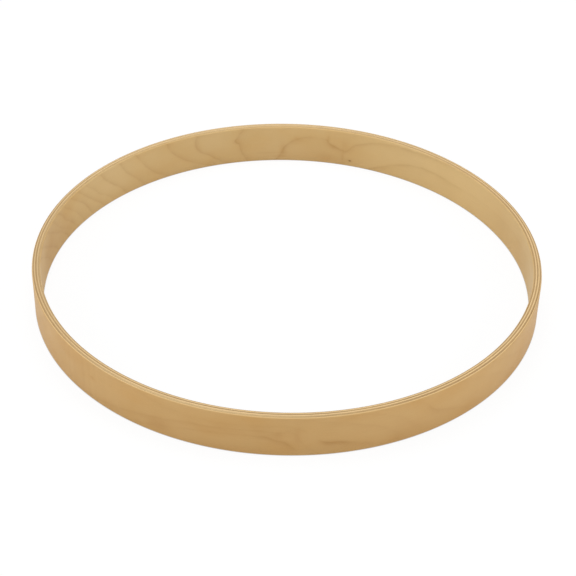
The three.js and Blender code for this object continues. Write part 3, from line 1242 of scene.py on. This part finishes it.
class DRUMHOOP_OT_long_plies(bpy.types.Operator):
    """Builds the core veneers whose grain runs round the hoop"""

    bl_idname = "drum_hoop.long_plies"
    bl_label = "Long Plies"
    bl_options = {"REGISTER", "UNDO"}

    def execute(self, context):
        sizes, finish = context.scene.drum_hoop_sizes, context.scene.drum_hoop_finish
        make_effects()
        for number, layer in enumerate(layers_of(sizes, "long")):
            piece = make_ply(sizes, layer, long_material(sizes, finish, layer, LONG_SEED + number))
        return {"FINISHED"}


class DRUMHOOP_OT_cross_plies(bpy.types.Operator):
    """Builds the core veneers whose grain runs along the axis, so that the rim shows their end grain"""

    bl_idname = "drum_hoop.cross_plies"
    bl_label = "Cross Plies"
    bl_options = {"REGISTER", "UNDO"}

    def execute(self, context):
        sizes, finish = context.scene.drum_hoop_sizes, context.scene.drum_hoop_finish
        make_effects()
        for number, layer in enumerate(layers_of(sizes, "cross")):
            piece = make_ply(sizes, layer, cross_material(sizes, finish, layer, CROSS_SEED + number))
        return {"FINISHED"}


class DRUMHOOP_OT_glue_films(bpy.types.Operator):
    """Builds the glue lines between the veneers and the films in their scarf joints"""

    bl_idname = "drum_hoop.glue_films"
    bl_label = "Glue Films"
    bl_options = {"REGISTER", "UNDO"}

    def execute(self, context):
        sizes, finish = context.scene.drum_hoop_sizes, context.scene.drum_hoop_finish
        material = glue_material(finish)
        for layer in layers_of(sizes, "glue"):
            make_glue_line(sizes, layer, material)
        veneers = [layer for layer in layers(sizes) if layer.kind != "glue"]
        for number, layer in enumerate(veneers, start=1):
            make_scarf_film(sizes, layer, number, material)
        return {"FINISHED"}


# Stage

FLOOR_HALF = 6.0                   # half the width of the floor
FLOOR_DROP = 0.05 * MILLIMETRE     # how far the floor lies under the hoop, so that the two don't mix
PALE = (0.80, 0.80, 0.80, 1.0)     # the floor's colour for the light that bounces off it
WHITE = (1.0, 1.0, 1.0, 1.0)
CONTACT_REACH = 1.2 * MILLIMETRE   # how far from the hoop's foot the shadow under its edge goes
CONTACT_LIGHT = 0.55               # what that shadow leaves of the floor's white where it is deepest
SENSOR_WIDTH = 36                  # of the camera, in millimetres, as its lens is
CLIP_RANGE = (0.05, 50)            # nearest and furthest that the camera sees

# The soft lamps: name, the stage's property for its power, width, and place. They face the origin.
LAMPS = (
    ("overhead_lamp", "overhead_power", 1.2, (-0.1, 0.6, 2.1)),
    ("left_lamp", "side_power", 1.4, (-2.2, -0.5, 1.2)),
    ("right_lamp", "side_power", 1.4, (2.2, -0.5, 1.2)),
    ("front_lamp", "front_power", 1.4, (0, -2.6, 0.9)),
)


def seen_directly(wiring):
    """One for rays that show the background: from the camera, a reflection or a clear body"""
    path = wiring.add("ShaderNodeLightPath").outputs
    direct = wiring.maths("MAXIMUM", path["Is Camera Ray"], path["Is Transmission Ray"])
    return wiring.maths("MAXIMUM", direct, path["Is Glossy Ray"])


def floor_material(stage):
    """Shows as white, with a faint shadow and a narrow one under the hoop's foot; clear from below"""
    material = bpy.data.materials.new("pale_floor")
    wiring = blank_wiring(material)
    matt = wiring.add("ShaderNodeBsdfDiffuse", {"Color": PALE}).outputs[0]
    bright = wiring.add("ShaderNodeBsdfDiffuse", {"Color": WHITE}).outputs[0]
    clearance = wiring.add("ShaderNodeAmbientOcclusion", {"Distance": CONTACT_REACH}).outputs["AO"]
    glow = wiring.ramp(clearance, 0.0, 1.0, CONTACT_LIGHT, 1.0)
    white = wiring.add("ShaderNodeEmission", {"Color": WHITE, "Strength": glow}).outputs[0]
    shaded = wiring.mix_shaders(stage.shadow, white, bright)
    shown = wiring.mix_shaders(seen_directly(wiring), matt, shaded)
    clear = wiring.add("ShaderNodeBsdfTransparent").outputs[0]
    below = wiring.add("ShaderNodeNewGeometry").outputs["Backfacing"]
    wiring.add("ShaderNodeOutputMaterial", {"Surface": wiring.mix_shaders(below, shown, clear)})
    return material


def make_floor(stage):
    """A plain floor right under the hoop"""
    bm = bmesh.new()
    bmesh.ops.create_grid(bm, x_segments=1, y_segments=1, size=FLOOR_HALF)
    mesh = bpy.data.meshes.new("floor")
    bm.to_mesh(mesh)
    bm.free()
    mesh.materials.append(floor_material(stage))
    floor = bpy.data.objects.new("floor", mesh)
    floor.location.z = -FLOOR_DROP
    bpy.context.scene.collection.objects.link(floor)


def make_sky(stage):
    """Even white light, with a white background behind everything"""
    world = bpy.data.worlds.new("studio")
    wiring = blank_wiring(world)
    strength = wiring.ramp(seen_directly(wiring), 0.0, 1.0, stage.sky, 1.0)
    light = wiring.add("ShaderNodeBackground", {"Color": WHITE, "Strength": strength})
    wiring.add("ShaderNodeOutputWorld", {"Surface": light.outputs[0]})
    bpy.context.scene.world = world


def make_lamp(name, power, width, place):
    """A square soft lamp that faces the origin"""
    light = bpy.data.lights.new(name, "AREA")
    light.energy = power
    light.shape = "SQUARE"
    light.size = width
    lamp = bpy.data.objects.new(name, light)
    lamp.location = place
    lamp.rotation_euler = (-Vector(place)).to_track_quat("-Z", "Y").to_euler()
    bpy.context.scene.collection.objects.link(lamp)


def make_camera(stage, depth):
    """The photograph's camera: it looks along +Y and down at the front edge's plane"""
    camera = bpy.data.cameras.new("camera")
    camera.lens = stage.lens
    camera.sensor_width = SENSOR_WIDTH
    camera.clip_start, camera.clip_end = CLIP_RANGE
    holder = bpy.data.objects.new("camera", camera)
    tilt = Matrix.Rotation(math.radians(90) - stage.elevation, 4, "X")
    roll = Matrix.Rotation(stage.roll, 4, "Z")
    back = Matrix.Translation((stage.slide[0], stage.slide[1], stage.distance))
    holder.matrix_world = Matrix.Translation((0, 0, depth)) @ (tilt @ roll) @ back
    bpy.context.scene.collection.objects.link(holder)
    bpy.context.scene.camera = holder


class DRUMHOOP_OT_stage(bpy.types.Operator):
    """Sets the floor, the sky, the lamps and the camera"""

    bl_idname = "drum_hoop.stage"
    bl_label = "Stage"
    bl_options = {"REGISTER", "UNDO"}

    def execute(self, context):
        sizes, stage = context.scene.drum_hoop_sizes, context.scene.drum_hoop_stage
        context.scene.view_settings.view_transform = "Standard"
        make_floor(stage)
        make_sky(stage)
        for name, power, width, place in LAMPS:
            make_lamp(name, getattr(stage, power), width, place)
        make_camera(stage, sizes.depth)
        return {"FINISHED"}


# Sidebar panel and registration

OPERATORS = (
    DRUMHOOP_OT_face_plies,
    DRUMHOOP_OT_long_plies,
    DRUMHOOP_OT_cross_plies,
    DRUMHOOP_OT_glue_films,
    DRUMHOOP_OT_stage,
)
SETTINGS = (
    ("drum_hoop_sizes", HoopSizes),
    ("drum_hoop_finish", HoopFinish),
    ("drum_hoop_stage", HoopStage),
)


class DRUMHOOP_PT_panel(bpy.types.Panel):
    """Lists the hoop's settings and the operators that build it"""

    bl_label = "Drum Hoop"
    bl_space_type = "VIEW_3D"
    bl_region_type = "UI"
    bl_category = "Drum Hoop"

    def draw(self, context):
        for attribute, kind in SETTINGS:
            box = self.layout.box()
            for name in kind.__annotations__:
                box.prop(getattr(context.scene, attribute), name)
        for operator in OPERATORS:
            self.layout.operator(operator.bl_idname)


CLASSES = (HoopSizes, HoopFinish, HoopStage, *OPERATORS, DRUMHOOP_PT_panel)


def register():
    for each in CLASSES:
        bpy.utils.register_class(each)
    for attribute, kind in SETTINGS:
        setattr(bpy.types.Scene, attribute, PointerProperty(type=kind))


def unregister():
    for attribute, kind in SETTINGS:
        delattr(bpy.types.Scene, attribute)
    for each in reversed(CLASSES):
        bpy.utils.unregister_class(each)


def main():
    """Builds the hoop and its stage"""
    register()
    bpy.ops.drum_hoop.stage()
    bpy.ops.drum_hoop.face_plies()
    bpy.ops.drum_hoop.long_plies()
    bpy.ops.drum_hoop.cross_plies()
    bpy.ops.drum_hoop.glue_films()
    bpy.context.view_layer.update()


if __name__ == "__main__":
    main()
